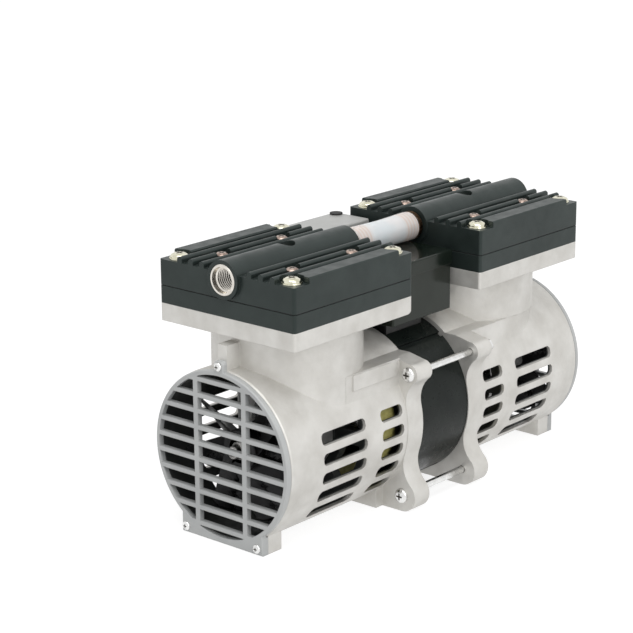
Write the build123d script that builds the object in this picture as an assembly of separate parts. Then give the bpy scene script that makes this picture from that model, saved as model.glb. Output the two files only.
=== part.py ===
from build123d import *
import math
import os

# Twin-head diaphragm vacuum pump: one motor in the middle, one pump unit at each end.
# X runs along the shaft, Y across, Z up from the plane of the feet; the origin is under the middle of
# the motor. Every unit is drawn at the +X end, with +X outboard, and turned half round Z for the front.
# All sizes are in millimetres.

# ---- driving dimensions -------------------------------------------------------------------------
SHAFT_Z = 46.4            # height of the shaft above the feet
UNIT_X = 75.1             # plane of each crank and diaphragm
END_X = 127.0             # outer face of each air grille
BARREL_END = 124.0        # outer end of the barrel, under the grille's ring
FOOT_X = (112.6, 122.5)   # outer foot of the housing, under the grille's foot plate
BARREL_R = 46.0           # outside of the barrel
BARREL_BORE = 43.0        # inside of the barrel
FLANGE_IN = 20.0          # motor flange, face against the stator
FLANGE_OUT = 32.5         # motor flange, outboard face
UPPER_BOLT = (46.6, 76.9)     # through-bolt places, Y and Z
LOWER_BOLT = (42.4, 8.8)
UPPER_EAR_R = 5.5
LOWER_EAR_R = 8.6
EAR_FILLET = 15.5         # hollow between the flange's disc and each ear
HEAD_L = 91.7             # head outline, along the shaft
HEAD_W = 91.7             # head outline, across
HEAD_CORNER_R = 1.6
NECK_R = 39.4             # round neck between barrel and head
NECK_BORE = 35.9
DECK_Z = 109.3            # underside of the cast head flange
PLATE_Z = 118.7           # top of the cast flange, underside of the valve plate
COVER_Z = 128.1           # seam between valve plate and cover
COVER_TOP = 141.7         # floor between the cover's ribs
RIB_TOP = 144.9           # crown of the ribs
BOSS_Z = 138.5            # axis of the port boss on the cover
BOSS_R = 10.2
PORT_BORE = 5.75          # minor radius of a G1/4 thread
CHANNEL_R = 5.2           # gas channel behind the thread
FOOT_W = 28.1             # half width of the outer foot
CRANK_THROW = 3.0
SHAFT_R = 5.0
JOURNAL_R = 10.0
FIT = 0.03                # radial running clearance
SLIP = 0.1                # radial clearance of a screw in its hole
GASKET = 0.5
DIAPHRAGM = 1.3
SCREW_X = 38.9            # corner head screws, from the middle of the head
SCREW_Y = 38.1
INNER_X = 22.8            # inner cover screws
INNER_Y = 24.0

os.makedirs("parts", exist_ok=True)


def save(name, solid):
    """Write one sub-part to its STEP file."""
    solid.label = name
    export_step(solid, f"parts/{name}.step")


def block(x0, x1, y0, y1, z0, z1):
    """A box between two corners."""
    return Pos((x0 + x1) / 2, (y0 + y1) / 2, (z0 + z1) / 2) * Box(x1 - x0, y1 - y0, z1 - z0)


def rod_x(radius, x0, x1, y=0.0, z=SHAFT_Z):
    """A cylinder along the shaft direction."""
    return Pos((x0 + x1) / 2, y, z) * Rot(0, 90, 0) * Cylinder(radius, x1 - x0)


def rod_z(radius, z0, z1, x=0.0, y=0.0):
    """An upright cylinder."""
    return Pos(x, y, (z0 + z1) / 2) * Cylinder(radius, z1 - z0)


def ring_x(outer, inner, x0, x1, y=0.0, z=SHAFT_Z):
    """A tube along the shaft direction."""
    return rod_x(outer, x0, x1, y, z) - rod_x(inner, x0 - 1, x1 + 1, y, z)


def slab(length, width, z0, z1, corner, x=UNIT_X):
    """A flat block with rounded upright corners, centred over the crank."""
    return extrude(Pos(x, 0, z0) * RectangleRounded(length, width, corner), z1 - z0)


def profile_x(sketch, x0, x1):
    """Extrude a sketch drawn as (Y, Z) from x0 to x1."""
    return extrude(Plane.YZ.offset(x0) * sketch, x1 - x0)


def both_sides(points):
    """Mirror (Y, Z) places to -Y."""
    return [(side * y, z) for side in (1, -1) for y, z in points]


def head_places(dx, dy):
    """Four places over the crank, dx and dy from its middle."""
    return [(UNIT_X + sx * dx, sy * dy) for sx in (1, -1) for sy in (1, -1)]


def at_end(solid, end):
    """Leave a unit's piece at +X for the rear, or turn it half round Z for the front."""
    return solid if end == "rear" else Rot(0, 0, 180) * solid


# ---- cast housing -------------------------------------------------------------------------------
SLOT_ROWS = 5
SLOT_PITCH = 10.4
SLOT_TOP = SHAFT_Z + 11.8  # middle of the top row
SLOT_H = 6.3
SLOT_CORNER = 2.5
LONG_SLOT = (65.4, 99.6)
SHORT_SLOT = (35.4, 53.1)
COLLAR_R = 48.2           # round hood over the motor side
LOWER_EAR = (42.4, LOWER_EAR_R)
SHOULDER_Y = 39.6         # side of the shoulders, just outside the neck
COLLAR_IN_R = 46.4        # flange disc between the ears
SHOULDER_Z = 84.4         # flat top of the shoulders, left and right of the hood
PAD = (34.5, 70.0, 75.5, 84.0)     # raised pad on one shoulder: X from, to, Z from, to
PAD_T = 0.9
RECESS_T = 1.2            # set-back of the other shoulder and of the neck above it
LUG_Z = 94.6              # upper grille screw
FOOT_SCREW = (24.6, 3.6)  # lower grille screws, Y and Z
BEARING_R = 15.0
BEARING_X = (54.0, 63.0)
DIAPHRAGM_R = 37.8
CHAMBER_R = 30.0


def ear_web(y, z, radius):
    """Web from the flange's disc to one ear, hollowed by an arc that touches both."""
    across = Vector(y, z) - Vector(0, SHAFT_Z)
    reach = COLLAR_IN_R + EAR_FILLET
    short = radius + EAR_FILLET
    along = (reach**2 - short**2 + across.length**2) / (2 * across.length)
    aside = math.sqrt(reach**2 - along**2)
    unit = across.normalized()
    turned = Vector(unit.Y, -unit.X) if z > SHAFT_Z else Vector(-unit.Y, unit.X)
    corner = Vector(0, SHAFT_Z) + unit * along + turned * aside
    web = make_face(Polyline((0, SHAFT_Z), (y, z), (corner.X, corner.Y), close=True))
    return web - Pos(corner.X, corner.Y) * Circle(EAR_FILLET)


def motor_flange():
    """Motor flange: a disc with four bolt ears on hollow webs, a hood on top and a flat foot."""
    flange = rod_x(COLLAR_IN_R, FLANGE_IN, FLANGE_OUT)
    flange += rod_x(COLLAR_R, FLANGE_IN, FLANGE_OUT) & block(0, 50, -60, 60, SHOULDER_Z - 6, 100)
    ear_top = UPPER_BOLT[1] + UPPER_EAR_R
    top = make_face(Polyline((0, SHAFT_Z), (UPPER_BOLT[0], SHAFT_Z + 29), (UPPER_BOLT[0], ear_top),
                             (37, SHOULDER_Z), (0, SHOULDER_Z), close=True))
    foot = make_face(Polyline((0, SHAFT_Z), LOWER_EAR, (LOWER_EAR[0], 0), (0, 0), close=True))
    for place, radius, plate in ((UPPER_BOLT, UPPER_EAR_R, top), (LOWER_EAR, LOWER_EAR_R, foot)):
        side = profile_x(ear_web(*place, radius), FLANGE_IN, FLANGE_OUT)
        side += profile_x(plate, FLANGE_IN, FLANGE_OUT)
        side += rod_x(radius, FLANGE_IN, FLANGE_OUT, *place)
        flange += side
        flange += mirror(side, Plane.XZ)
    return flange


def slot_cutters():
    """Round-cornered cooling slots on both sides of the barrel."""
    cutters = []
    for x0, x1 in (LONG_SLOT, SHORT_SLOT):
        for row in range(SLOT_ROWS):
            place = Pos((x0 + x1) / 2, SLOT_TOP - row * SLOT_PITCH)
            shape = place * RectangleRounded(x1 - x0, SLOT_H, SLOT_CORNER)
            for side in (1, -1):
                start = Plane.XZ.offset(-side * 26) * shape
                cutters.append(extrude(start, -side * 24))
    return cutters


def bulkhead():
    """Spider that carries the main bearing across the barrel."""
    web = rod_x(BARREL_BORE + 0.5, 55, 60.5) - block(50, 70, -50, 50, SHAFT_Z + 30, 120)
    window = rod_x(36.5, 50, 70) - rod_x(24.5, 49, 71)
    for angle in (0, 60, 120):
        window -= Pos(0, 0, SHAFT_Z) * Rot(angle, 0, 0) * block(48, 72, -60, 60, -4, 4)
    web -= window
    web += rod_x(19.5, BEARING_X[0] - 1.5, BEARING_X[1])
    web -= rod_x(BEARING_R, BEARING_X[0], BEARING_X[1] + 1)
    return web - rod_x(11, 40, 70)


def shoulders():
    """Hood and side walls between motor flange and neck, with a raised pad on the +Y side."""
    body = block(FLANGE_OUT - 1, UNIT_X, RECESS_T - SHOULDER_Y, SHOULDER_Y, SHAFT_Z, SHOULDER_Z)
    hood = rod_x(COLLAR_R, FLANGE_OUT - 1, UNIT_X)
    body += hood & block(0, UNIT_X, -COLLAR_R, COLLAR_R, SHOULDER_Z - 4, SHAFT_Z + COLLAR_R)
    return body + block(PAD[0], PAD[1], NECK_R - 3, NECK_R + PAD_T, PAD[2], PAD[3])


def neck():
    """Round neck under the head, set back a little on the -Y side below the shoulder line."""
    upper = rod_z(NECK_R, SHOULDER_Z, DECK_Z + 1, UNIT_X)
    lower = rod_z(NECK_R, SHAFT_Z, SHOULDER_Z, UNIT_X) & block(0, 150, 0, 60, 0, 150)
    return upper + lower + rod_z(NECK_R - RECESS_T, SHAFT_Z, SHOULDER_Z, UNIT_X)


def housing():
    """Barrel, motor flange, neck and head flange in one casting."""
    barrel = rod_x(BARREL_R, FLANGE_OUT, BARREL_END)
    barrel = fillet(barrel.edges().sort_by(Axis.X)[-1], 1.4)
    deck = slab(HEAD_L, HEAD_W, DECK_Z, PLATE_Z, HEAD_CORNER_R)
    edge = UNIT_X - HEAD_L / 2
    relief = block(edge - 1, edge + 4, 14, 60, DECK_Z - 1, DECK_Z + 4)
    relief -= Pos(edge + 4, 37, DECK_Z + 4) * Rot(90, 0, 0) * Cylinder(4, 60)
    body = barrel + neck() + motor_flange() + shoulders() + (deck - relief)
    body += block(*FOOT_X, -FOOT_W, FOOT_W, 0, 16)
    body += block(FLANGE_OUT - 1, 38.0, -29.0, 29.0, 0, 16)
    body += block(FOOT_X[0], BARREL_END, -3.1, 3.1, 86, 105.4)
    body -= rod_x(BARREL_BORE, FLANGE_IN - 1, BARREL_END + 1)
    body -= rod_z(NECK_BORE, SHAFT_Z, DECK_Z, UNIT_X)
    body -= rod_z(CHAMBER_R, SHAFT_Z, PLATE_Z + 1, UNIT_X)
    body -= rod_z(DIAPHRAGM_R, PLATE_Z - DIAPHRAGM, PLATE_Z + 1, UNIT_X)
    body += bulkhead()
    body -= slot_cutters()
    for y, z in both_sides([UPPER_BOLT, LOWER_BOLT]):
        body -= rod_x(2.0 + SLIP, FLANGE_IN - 1, 45, y, z)
    for y, z in both_sides([FOOT_SCREW]):
        body -= rod_x(1.5 + SLIP, FOOT_X[0] + 1, BARREL_END, y, z)
    body -= rod_x(1.5 + SLIP, FOOT_X[0] + 2, BARREL_END + 1, 0, LUG_Z)
    for x, y in head_places(SCREW_X, SCREW_Y):
        body -= rod_z(2.5 + SLIP, DECK_Z - 1, PLATE_Z + 1, x, y)
    return body


# ---- air grille ---------------------------------------------------------------------------------
GRILLE_R = 45.6
GRILLE_OPEN = 43.2
BAR_COUNT = 10
BAR_PITCH = 8.65
BAR_H = 2.3
POST_Y = 16.5
POST_W = 3.0


def grille():
    """Outer air grille: ring and bars, with a thicker foot plate and a top tab."""
    rim = Pos(0, SHAFT_Z) * Circle(GRILLE_R)
    foot = Pos(0, 8) * Rectangle(2 * FOOT_W, 16)
    tab = Pos(0, 91.5) * Rectangle(6.4, 12)
    plate = fillet((rim + foot + tab).vertices().filter_by(lambda v: v.Y > 96), 2.0)
    hole = Pos(0, SHAFT_Z) * Circle(GRILLE_OPEN)
    bars = Sketch()
    for step in range(BAR_COUNT):
        z = SHAFT_Z + (step - (BAR_COUNT - 1) / 2) * BAR_PITCH
        bars += Pos(0, z) * Rectangle(2 * GRILLE_OPEN, BAR_H)
    for side in (1, -1):
        bars += Pos(side * POST_Y, SHAFT_Z) * Rectangle(POST_W, 2 * GRILLE_OPEN)
    body = profile_x(plate - hole, BARREL_END, END_X)
    body = chamfer(body.faces().sort_by(Axis.X)[-1].outer_wire().edges(), 0.6)
    body += profile_x(hole & bars, BARREL_END, END_X)
    body += profile_x(foot - Pos(0, SHAFT_Z) * Circle(BARREL_R + 0.3), FOOT_X[1], BARREL_END)
    for y, z in both_sides([FOOT_SCREW]) + [(0, LUG_Z)]:
        body -= rod_x(1.5 + SLIP, BARREL_END - 2, END_X + 1, y, z)
    return body


def pan_screw_x(radius, head_r, head_h, x_tip, x_seat, y, z):
    """Pan-head screw along X with its head outboard."""
    head = rod_x(head_r, x_seat, x_seat + head_h, y, z)
    head = fillet(head.edges().sort_by(Axis.X)[-1], head_h * 0.6)
    return head + rod_x(radius, x_tip, x_seat + 0.1, y, z)


def grille_screws():
    """Three small screws that hold the grille."""
    lower = [pan_screw_x(1.5, 2.4, 1.6, 116, END_X, y, z) for y, z in both_sides([FOOT_SCREW])]
    return Compound(children=[*lower, pan_screw_x(1.5, 2.4, 1.6, 116, END_X, 0, LUG_Z)])


# ---- motor --------------------------------------------------------------------------------------
STATOR_R = 45.8
STATOR_BORE = 22.6
ROTOR_R = 22.25
ROTOR_SEAT_R = 7.0
SHAFT_END = 118.0
STUB_R = 3.6              # thin shaft end beyond the fan
STUB_X = 113.6
WINDING_END = 43.0
GROOVE_ANGLE = 36
NUT_WASHER = 0.8


def stator_core():
    """Laminated stack between the two motor flanges, with four weld grooves."""
    stack = ring_x(STATOR_R, STATOR_BORE, -FLANGE_IN, FLANGE_IN)
    for angle in (GROOVE_ANGLE, -GROOVE_ANGLE, 180 + GROOVE_ANGLE, 180 - GROOVE_ANGLE):
        groove = block(-30, 30, -1.5, 1.5, STATOR_R - 1.8, STATOR_R + 2)
        stack -= Pos(0, 0, SHAFT_Z) * Rot(angle, 0, 0) * groove
    return stack


def winding():
    """End turns of the stator coils, bound into a rounded ring."""
    turns = ring_x(37, 25.5, FLANGE_IN, WINDING_END)
    return fillet(turns.faces().sort_by(Axis.X)[-1].edges(), 4.5)


def shaft():
    """Motor shaft, thicker where the rotor sits and thinner beyond the fans."""
    bar = rod_x(SHAFT_R, -STUB_X, STUB_X) + rod_x(STUB_R, -SHAFT_END, SHAFT_END)
    bar = chamfer(bar.edges().filter_by(GeomType.CIRCLE), 0.6)
    return bar + rod_x(ROTOR_SEAT_R, -26, 26)


def rotor_core():
    """Rotor stack on the shaft."""
    return ring_x(ROTOR_R, ROTOR_SEAT_R, -19.5, 19.5)


def rotor_end_rings():
    """Cast aluminium end rings of the rotor cage."""
    return Compound(children=[ring_x(20, 12, -25.5, -19.5), ring_x(20, 12, 19.5, 25.5)])


def main_bearing():
    """Ball bearing in the bulkhead, with shield recesses."""
    race = ring_x(BEARING_R, SHAFT_R + FIT, *BEARING_X)
    for x in BEARING_X:
        race -= ring_x(12.6, 7.6, x - 0.5, x + 0.5)
    return race


def through_bolts():
    """Four long bolts that pull both units against the stator, heads at the front."""
    bolts = []
    for y, z in both_sides([UPPER_BOLT, LOWER_BOLT]):
        bolt = pan_screw_x(2.0, 4.0, 2.7, -FLANGE_OUT - 4.5, FLANGE_OUT, -y, z)
        bolts.append(Rot(0, 0, 180) * bolt)
    return Compound(children=bolts)


def bolt_nuts():
    """Washer and nut at the rear end of each through bolt."""
    nuts = []
    for y, z in both_sides([UPPER_BOLT, LOWER_BOLT]):
        seat = FLANGE_OUT + NUT_WASHER
        flats = RegularPolygon(3.5, 6, major_radius=False)
        nut = profile_x(Pos(y, z) * flats, seat, seat + 3.2)
        nut += rod_x(4.4, FLANGE_OUT, seat, y, z)
        nuts.append(nut - rod_x(2.0, FLANGE_OUT - 1, seat + 4, y, z))
    return Compound(children=nuts)


# ---- fan, crank and rod -------------------------------------------------------------------------
FAN_X = (101.0, 113.0)
FAN_R = 39.0
FAN_HUB_R = 11.0
BLADES = 7
BLADE_T = 1.5
BLADE_CHORD = 20.0
BLADE_PITCH = 36          # degrees from the plane of rotation
ROD_X = (UNIT_X - 6, UNIT_X + 6)
ROD_BEARING_R = 21.0
PLATFORM_R = 22.0
CLAMP_R = 21.0
CLAMP_T = 2.5
WEIGHT_R = 31.0


def fan():
    """Axial cooling fan with pitched blades on a round hub."""
    span = FAN_R - FAN_HUB_R + 6
    blade = Pos(0, 0, (FAN_R + FAN_HUB_R) / 2) * Box(BLADE_T, BLADE_CHORD, span)
    blade = Rot(0, 0, 90 - BLADE_PITCH) * blade
    centre = Pos(sum(FAN_X) / 2, 0, SHAFT_Z)
    wheel = rod_x(FAN_HUB_R, *FAN_X)
    for step in range(BLADES):
        wheel += centre * Rot(step * 360 / BLADES, 0, 0) * blade
    wheel &= rod_x(FAN_R, *FAN_X)
    return wheel - rod_x(SHAFT_R, FAN_X[0] - 1, FAN_X[1] + 1)


def eccentric(lift):
    """Crank journal, hub and half-round counterweight on the opposite side."""
    side = 1 if lift > 0 else -1
    journal = rod_x(JOURNAL_R, ROD_X[0] - 0.8, ROD_X[1], z=SHAFT_Z + lift)
    journal += rod_x(JOURNAL_R + 1.6, ROD_X[1] + 0.2, 84, z=SHAFT_Z + lift)
    journal += rod_x(JOURNAL_R, ROD_X[1] - 0.1, 84, z=SHAFT_Z + lift)
    weight = rod_x(WEIGHT_R, 84, 92)
    near, far = sorted((SHAFT_Z - side * 2, SHAFT_Z - side * 60))
    weight &= block(80, 100, -60, 60, near, far)
    weight = fillet(weight.edges().filter_by(Axis.X), 3)
    body = journal + weight + rod_x(9, 84, 96)
    return body - rod_x(SHAFT_R, 60, 100)


def rod_bearing(lift):
    """Ball bearing between the journal and the rod, with shield recesses."""
    z = SHAFT_Z + lift
    race = ring_x(ROD_BEARING_R, JOURNAL_R + FIT, *ROD_X, z=z)
    for x in ROD_X:
        race -= ring_x(18, 13, x - 0.6, x + 0.6, z=z)
    return race


def connecting_rod(lift):
    """Rod with a big end on the bearing and a round platform under the diaphragm."""
    z = SHAFT_Z + lift
    top = PLATE_Z - DIAPHRAGM + lift
    middle = sum(ROD_X) / 2
    arm = Polyline((-17, z + 16), (17, z + 16), (8.5, top - 8), (-8.5, top - 8), close=True)
    recess = Polyline((-8, z + 29), (8, z + 29), (4.5, top - 13), (-4.5, top - 13), close=True)
    body = profile_x(make_face(arm), middle - 5, middle + 5)
    body += rod_x(ROD_BEARING_R + 4.5, *ROD_X, z=z)
    body += rod_z(8.5, top - 12, top - 1, middle)
    platform = rod_z(PLATFORM_R, top - 3.2, top, middle)
    body += fillet(platform.edges().filter_by(GeomType.CIRCLE).sort_by(Axis.Z)[-1], 1.2)
    body += Pos(middle, 0, top - 5.2) * Cone(9, 18, 4)
    for x0, x1 in ((middle - 6, middle - 2), (middle + 2, middle + 6)):
        body -= profile_x(make_face(recess), x0, x1)
    body -= rod_x(ROD_BEARING_R, 60, 90, z=z)
    return body - rod_z(2.5 + SLIP, top - 14, top + 1, middle)


def clamp_disc(lift):
    """Disc that clamps the middle of the diaphragm to the rod."""
    z = PLATE_Z + lift
    disc = rod_z(CLAMP_R, z, z + CLAMP_T, UNIT_X)
    disc = fillet(disc.edges().filter_by(GeomType.CIRCLE).sort_by(Axis.Z)[-1], 0.8)
    disc -= rod_z(2.5 + SLIP, z - 1, z + 5, UNIT_X)
    return disc - Pos(UNIT_X, 0, z + CLAMP_T - 1.2) * Cone(2.6, 5.0, 2.4)


def clamp_screw(lift):
    """Countersunk screw through the clamp disc into the rod."""
    z = PLATE_Z + lift + CLAMP_T
    screw = Pos(UNIT_X, 0, z - 1.2) * Cone(2.5, 4.9, 2.4)
    return screw + rod_z(2.5, z - 15, z - 2, UNIT_X)


# ---- pump head ----------------------------------------------------------------------------------
PLATE_TOP = COVER_Z - GASKET / 2
COVER_BASE = COVER_Z + GASKET / 2
CHAMBER_TOP = 124.9
VALVE_X = 11.0            # valve ports, from the middle of the head
REED_T = 0.3
RIB_Y = (16.0, 23.7, 31.4)
RIB_W = 3.2
BAND_Y = 35.6
BAND_HALF = 34.6
POCKET_R = 6.2
INNER_POCKET_R = 5.2
WALL_HALF = 4.5           # wall between suction and pressure side
CAVITY_END = 17.5
CAVITY_Y = 17.0
CAVITY_TOP = 134.5
INSERT_R = 8.2
NIPPLE_R = 5.45
NIPPLE_THREAD_R = 6.6
HOSE_END = 25.0
HOSE_R = 7.9


def valve_half(side):
    """Direction of a valve side: suction towards the port, pressure towards the hose."""
    return UNIT_X + side * VALVE_X


def diaphragm(lift):
    """Moulded diaphragm: clamped rim, rolled convolution, raised or lowered middle."""
    base = PLATE_Z - DIAPHRAGM
    roll = [(22.6, base + lift), (25.9, base + 0.45 * lift - 0.7), (29.4, base)]
    upper = [(r, z + DIAPHRAGM) for r, z in roll]
    outline = Polyline((3, base + lift + DIAPHRAGM), (3, base + lift), roll[0])
    outline += Spline(*roll, tangents=[(1, 0), (1, 0)])
    outline += Polyline(roll[-1], (DIAPHRAGM_R, base), (DIAPHRAGM_R, PLATE_Z), upper[-1])
    outline += Spline(*reversed(upper), tangents=[(-1, 0), (-1, 0)])
    outline += Line(upper[0], (3, base + lift + DIAPHRAGM))
    section = Plane.XZ * make_face(outline)
    return Pos(UNIT_X, 0, 0) * revolve(section, Axis.Z)


def valve_plate():
    """Plate over the diaphragm: pumping chamber below, suction and pressure ports through it."""
    plate = slab(HEAD_L, HEAD_W, PLATE_Z, PLATE_TOP, HEAD_CORNER_R)
    plate -= rod_z(CHAMBER_R, PLATE_Z - 1, CHAMBER_TOP, UNIT_X)
    for side in (1, -1):
        for y in (-6, 0, 6):
            plate -= rod_z(2.2, 120, 130, valve_half(side), y)
    for x, y in head_places(SCREW_X, SCREW_Y):
        plate -= rod_z(2.5 + SLIP, 110, 130, x, y)
    for x, y in head_places(INNER_X, INNER_Y):
        plate -= rod_z(2.0 + SLIP, 119.5, 130, x, y)
    return plate - rod_z(2.0 + SLIP, 125.8, 130, UNIT_X)


def reed(side):
    """Thin spring-steel valve leaf: under the plate on suction, over it on pressure."""
    z = CHAMBER_TOP - REED_T if side > 0 else PLATE_TOP
    leaf = Pos(valve_half(side), 0, z) * Rot(0, 0, 90) * SlotOverall(30, 9)
    return extrude(leaf, REED_T)


def cavities(z0, z1):
    """The two gas chambers, one each side of the middle wall."""
    width = CAVITY_END - WALL_HALF
    shape = RectangleRounded(width, 2 * CAVITY_Y, 3)
    offset = (CAVITY_END + WALL_HALF) / 2
    return [extrude(Pos(UNIT_X + s * offset, 0, z0) * shape, z1 - z0) for s in (1, -1)]


def screw_holes(radius_corner, radius_inner, z0, z1):
    """Clearance holes for all nine screws of a head."""
    holes = [rod_z(radius_corner, z0, z1, x, y) for x, y in head_places(SCREW_X, SCREW_Y)]
    holes += [rod_z(radius_inner, z0, z1, x, y) for x, y in head_places(INNER_X, INNER_Y)]
    return holes + [rod_z(radius_inner, z0, z1, UNIT_X)]


def head_gasket():
    """Sheet gasket between valve plate and cover, a little inside their outline."""
    sheet = slab(HEAD_L - 0.9, HEAD_W - 0.9, PLATE_TOP, COVER_BASE, HEAD_CORNER_R)
    sheet -= cavities(120, 130)
    return sheet - screw_holes(2.5 + SLIP, 2.0 + SLIP, 120, 130)


def cover_ribs():
    """Cooling ribs along the cover: three round-topped ribs and a flat band on each side."""
    x0, x1 = UNIT_X - HEAD_L / 2, UNIT_X + HEAD_L / 2
    section = Sketch()
    for y in RIB_Y:
        for side in (1, -1):
            section += Pos(side * y, RIB_TOP - RIB_W / 2) * Circle(RIB_W / 2)
            height = RIB_TOP - RIB_W / 2 - COVER_TOP + 1
            section += Pos(side * y, COVER_TOP - 1 + height / 2) * Rectangle(RIB_W, height)
    ribs = profile_x(section, x0, x1)
    for side in (1, -1):
        y0, y1 = sorted((side * BAND_Y, side * HEAD_W / 2))
        band = block(UNIT_X - BAND_HALF, UNIT_X + BAND_HALF, y0, y1, COVER_TOP - 1, RIB_TOP)
        ribs += chamfer(band.edges().filter_by(Axis.X).group_by(Axis.Z)[-1], 0.7)
    for x, y in head_places(SCREW_X, SCREW_Y):
        ribs -= rod_z(POCKET_R, COVER_TOP, 150, x, y)
    for x, y in head_places(INNER_X, INNER_Y):
        ribs -= rod_z(INNER_POCKET_R, COVER_TOP, 150, x, y)
    return ribs


def head_cover():
    """Finned cover with a port boss along its middle and two gas chambers underneath."""
    x0, x1 = UNIT_X - HEAD_L / 2, UNIT_X + HEAD_L / 2
    cover = slab(HEAD_L, HEAD_W, COVER_BASE, COVER_TOP, HEAD_CORNER_R)
    boss = rod_x(BOSS_R, x0 - 0.9, x1 + 2.0, z=BOSS_Z)
    cover += boss & block(0, 150, -20, 20, COVER_BASE + 0.2, 160)
    cover += cover_ribs()
    cover -= rod_z(4.6, 143.6, 160, UNIT_X)
    cover -= cavities(COVER_BASE - 1, CAVITY_TOP)
    cover -= rod_x(CHANNEL_R, UNIT_X + WALL_HALF + 1, 130, z=BOSS_Z)
    cover -= rod_x(CHANNEL_R, 20, UNIT_X - WALL_HALF - 1, z=BOSS_Z)
    cover -= rod_x(INSERT_R, 108, 130, z=BOSS_Z)
    cover -= rod_x(NIPPLE_THREAD_R, 20, 42, z=BOSS_Z)
    return cover - screw_holes(2.5 + SLIP, 2.0 + SLIP, 120, 160)


def port_insert():
    """Metal thread insert in the outer end of the boss."""
    sleeve = ring_x(INSERT_R, PORT_BORE, 108, 123.2, z=BOSS_Z)
    return chamfer(sleeve.faces().sort_by(Axis.X)[-1].edges(), 0.5)


def hose_nipple():
    """Fitting in the inner end of the boss: thread in the cover, ridged nipple in the hose."""
    body = rod_x(NIPPLE_THREAD_R, HOSE_END, 42, z=BOSS_Z) + rod_x(NIPPLE_R, 14, 30, z=BOSS_Z)
    for x in (16, 18.5, 21, 23.5):
        body -= ring_x(NIPPLE_R + 1, NIPPLE_R - 0.5, x, x + 0.9, z=BOSS_Z)
    return body - rod_x(3.2, 10, 50, z=BOSS_Z)


def link_hose():
    """Short translucent hose over both nipples, a little narrower between them."""
    edge = HOSE_END - 1
    outer = [(-edge, HOSE_R), (-8, 7.6), (8, 7.6), (edge, HOSE_R)]
    outline = Polyline((-HOSE_END, HOSE_R - 1), (-HOSE_END, NIPPLE_R), (HOSE_END, NIPPLE_R))
    outline += Line((HOSE_END, NIPPLE_R), (HOSE_END, HOSE_R - 1))
    outline += Line((HOSE_END, HOSE_R - 1), outer[-1])
    outline += Spline(*reversed(outer))
    outline += Line(outer[0], (-HOSE_END, HOSE_R - 1))
    section = Plane.XZ * make_face(outline)
    return Pos(0, 0, BOSS_Z) * revolve(section, Axis.X)


def screw_z(radius, head_r, head_h, z_tip, z_seat, x, y):
    """Pan-head screw standing in the head, seated at z_seat."""
    head = rod_z(head_r, z_seat, z_seat + head_h, x, y)
    head = fillet(head.edges().sort_by(Axis.Z)[-1], head_h * 0.6)
    return head + rod_z(radius, z_tip, z_seat + 0.1, x, y)


def corner_screws():
    """Four screws with captive washers that hold the whole head to the housing."""
    screws = []
    for x, y in head_places(SCREW_X, SCREW_Y):
        washer = rod_z(5.0, COVER_TOP, COVER_TOP + 0.8, x, y)
        screws.append(washer + screw_z(2.5, 4.5, 2.7, DECK_Z + 1, COVER_TOP + 0.8, x, y))
    return Compound(children=screws)


def inner_screws():
    """Five smaller screws that hold the cover to the valve plate."""
    screws = [
        screw_z(2.0, 3.7, 2.2, 119.7, COVER_TOP, x, y) for x, y in head_places(INNER_X, INNER_Y)
    ]
    return Compound(children=[*screws, screw_z(2.0, 3.4, 2.0, 126, 143.6, UNIT_X, 0)])


# ---- electrical box -----------------------------------------------------------------------------
BOX_X = 25.0
BOX_Y = (-29.6, 27.4)
BOX_Z = (97.6, 122.6)
LID_TOP = 130.3
BOX_WALL = 2.4
LID_LIP = 1.0
CAPACITOR_Y = 52.4
CAPACITOR_TOP = 138.6
PLUG = (20.9, 48.3)
PLUG_R = 3.6
LID_SCREWS = [(-20.5, 22.0), (20.5, 22.0)]


def junction_bracket():
    """Saddle between the stator and the electrical box."""
    return block(-15, 15, -17, 17, 80, BOX_Z[0]) - rod_x(STATOR_R, -30, 30)


def junction_box():
    """Open-topped electrical box."""
    shell = block(-BOX_X, BOX_X, *BOX_Y, *BOX_Z)
    shell = fillet(shell.edges().filter_by(Axis.Z), 1.2)
    inside = (BOX_X - BOX_WALL, BOX_Y[0] + BOX_WALL, BOX_Y[1] - BOX_WALL)
    shell -= block(-inside[0], inside[0], inside[1], inside[2], BOX_Z[0] + BOX_WALL, 130)
    for x, y in LID_SCREWS:
        shell += rod_z(3.4, BOX_Z[0] + 1, BOX_Z[1], x, y) - rod_z(1.5 + SLIP, 110, 130, x, y)
    return shell


def junction_lid():
    """Lid of the electrical box with a thin skirt."""
    lid = block(-BOX_X, BOX_X, BOX_Y[0] - LID_LIP, BOX_Y[1], BOX_Z[1], LID_TOP)
    lid = fillet(lid.edges().filter_by(Axis.Z) + lid.faces().sort_by(Axis.Z)[-1].edges(), 1.0)
    hollow = BOX_X - BOX_WALL
    lid -= block(-hollow, hollow, BOX_Y[0] + BOX_WALL, BOX_Y[1] - BOX_WALL, 120, LID_TOP - 2)
    for x, y in LID_SCREWS:
        lid += rod_z(3.4, BOX_Z[1], LID_TOP - 1, x, y)
        lid -= rod_z(1.5 + SLIP, 120, 140, x, y)
    return lid


def lid_screws():
    """Two small screws in the lid."""
    return Compound(children=[screw_z(1.5, 2.6, 1.5, 112, LID_TOP, x, y) for x, y in LID_SCREWS])


def terminal_block():
    """Three-way terminal block on the floor of the box."""
    body = block(-15, 15, -9, 7, BOX_Z[0] + BOX_WALL, 111)
    for x in (-10, 0, 10):
        body -= block(x - 3, x + 3, -10, -4, 104, 112)
        body -= rod_z(2, 106, 112, x, 1.5)
    return body


def capacitor():
    """Motor capacitor in a light plastic case behind the box."""
    case = block(-BOX_X, BOX_X, BOX_Y[1], CAPACITOR_Y, BOX_Z[0], CAPACITOR_TOP)
    return fillet(case.edges().filter_by(Axis.Z) + case.faces().sort_by(Axis.Z)[-1].edges(), 1.2)


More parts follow.
